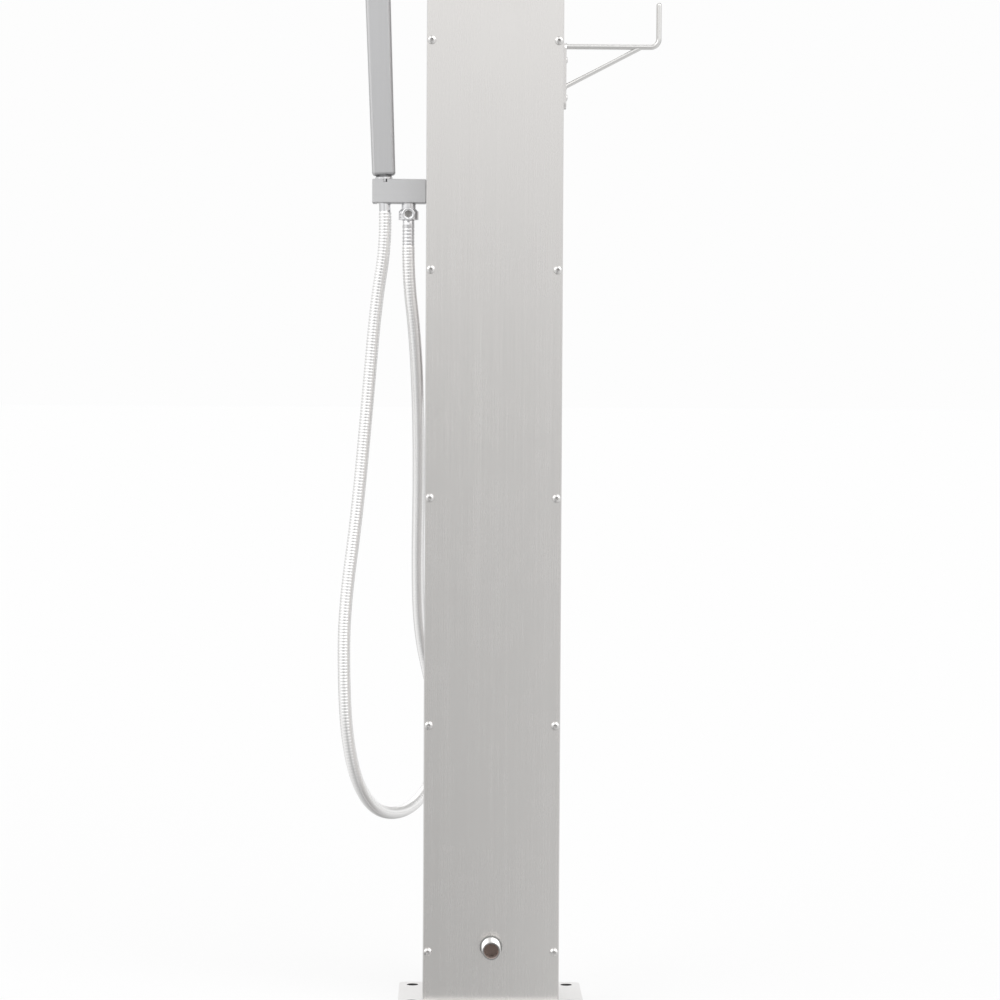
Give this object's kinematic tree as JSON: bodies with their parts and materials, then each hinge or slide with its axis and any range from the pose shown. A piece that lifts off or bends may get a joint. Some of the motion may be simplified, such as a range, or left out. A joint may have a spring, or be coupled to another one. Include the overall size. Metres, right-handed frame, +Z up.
{
  "type": "outdoor shower post",
  "caption": "Freestanding shower post: folded sheet column on a bolt-down plate, lever valve, diverter, overhead shower on an arm, hand shower on a ribbed hose, towel hook.",
  "frame": {"origin": "on the floor, at the centre of the base plate's underside", "axes": "+Z up along the column, -Y to the front with the controls and the overhead shower, +X to the side with the hand shower"},
  "size_m": [0.359, 0.55, 2.1155],
  "materials": {
    "brushed_stainless": "fine straight brushing, satin",
    "holder_steel": "flat satin",
    "plate_steel": "pale satin",
    "screw_steel": "smooth",
    "hose_steel": "ribbed, bright",
    "polished_chrome": "polished",
    "pipe_steel": "drawn tube",
    "brass": "machined",
    "black_rubber": "matt",
    "grey_nylon": "matt moulded",
    "cartridge_plastic": "matt moulded"
  },
  "bodies": {
    "post": {"column_shell": "brushed_stainless", "rear_cover": "brushed_stainless", "top_cap": "brushed_stainless", "base_plate": "plate_steel", "rear_cover_screws": "screw_steel", "inlet_nipple": "polished_chrome", "inlet_grommet": "grey_nylon", "inlet_elbow": "brass", "elbow_fixings": "screw_steel", "supply_pipe": "pipe_steel", "link_pipe": "pipe_steel", "riser_pipe": "pipe_steel", "hand_branch_pipe": "pipe_steel", "compression_nuts": "brass", "pipe_clips": "cartridge_plastic", "main_valve_body": "brass", "main_valve_cartridge": "cartridge_plastic", "main_valve_locknut": "brass", "main_valve_plate": "brushed_stainless", "diverter_body": "brass", "diverter_cartridge": "cartridge_plastic", "diverter_locknut": "brass", "diverter_plate": "brushed_stainless", "top_elbow": "brass", "arm_flange": "brushed_stainless", "shower_arm": "brushed_stainless", "arm_outlet": "brushed_stainless", "holder_block": "holder_steel", "holder_gasket": "black_rubber", "holder_stud": "brass", "holder_locknut": "brass", "branch_elbow": "brass", "outlet_valve_body": "polished_chrome", "hose_lower_ferrule": "polished_chrome", "shower_hose": "hose_steel", "hook_plate": "brushed_stainless", "hook_arm": "brushed_stainless", "hook_brace": "brushed_stainless", "hook_fixings": "screw_steel"},
    "lever": {"main_lever": "brushed_stainless", "main_lever_screw": "screw_steel", "main_valve_stem": "brass"},
    "knob": {"diverter_knob": "brushed_stainless", "diverter_knob_screw": "screw_steel", "diverter_stem": "brass"},
    "stop_plug": {"outlet_valve_stem": "brass"},
    "hose_end": {"hose_upper_ferrule": "polished_chrome", "hose_cone_nut": "polished_chrome", "hose_washer": "black_rubber"},
    "hand_shower": {"hand_shower_body": "holder_steel", "hand_shower_spigot": "cartridge_plastic", "hand_shower_face": "holder_steel", "hand_shower_nozzles": "black_rubber"},
    "ball": {"head_ball": "brass", "ball_retainer": "brass"},
    "overhead_shower": {"head_collar": "brushed_stainless", "head_cup": "brushed_stainless", "shower_head": "brushed_stainless", "spray_plate": "brushed_stainless", "head_nozzles": "black_rubber"}
  },
  "joints": [
    {"name": "main_lever_turn", "type": "hinge", "parent": "post", "child": "lever", "pos_m": [0, -0.07, 1.01], "axis": [0, -1, 0], "range_deg": [0, 90]},
    {"name": "diverter_turn", "type": "hinge", "parent": "post", "child": "knob", "pos_m": [0, -0.07, 1.11], "axis": [0, -1, 0], "range_deg": [-90, 90]},
    {"name": "stop_valve_turn", "type": "hinge", "parent": "post", "child": "stop_plug", "pos_m": [0.095, -0.0095, 0.87365], "axis": [0, 1, 0], "range_deg": [0, 90]},
    {"name": "hand_shower_lift", "type": "slide", "parent": "post", "child": "hose_end", "axis": [0.0366, 0, 0.9993], "range_m": [0, 0.06]},
    {"name": "hand_shower_turn", "type": "hinge", "parent": "hose_end", "child": "hand_shower", "pos_m": [0.1225, -0.025, 0.9126], "axis": [0.0366, 0, 0.9993], "continuous": true},
    {"name": "overhead_spin", "type": "hinge", "parent": "post", "child": "ball", "pos_m": [0, -0.37, 2.017], "axis": [0, 0, 1], "continuous": true},
    {"name": "overhead_tilt", "type": "hinge", "parent": "ball", "child": "overhead_shower", "pos_m": [0, -0.37, 2.017], "axis": [1, 0, 0], "range_deg": [-15, 15]}
  ]
}
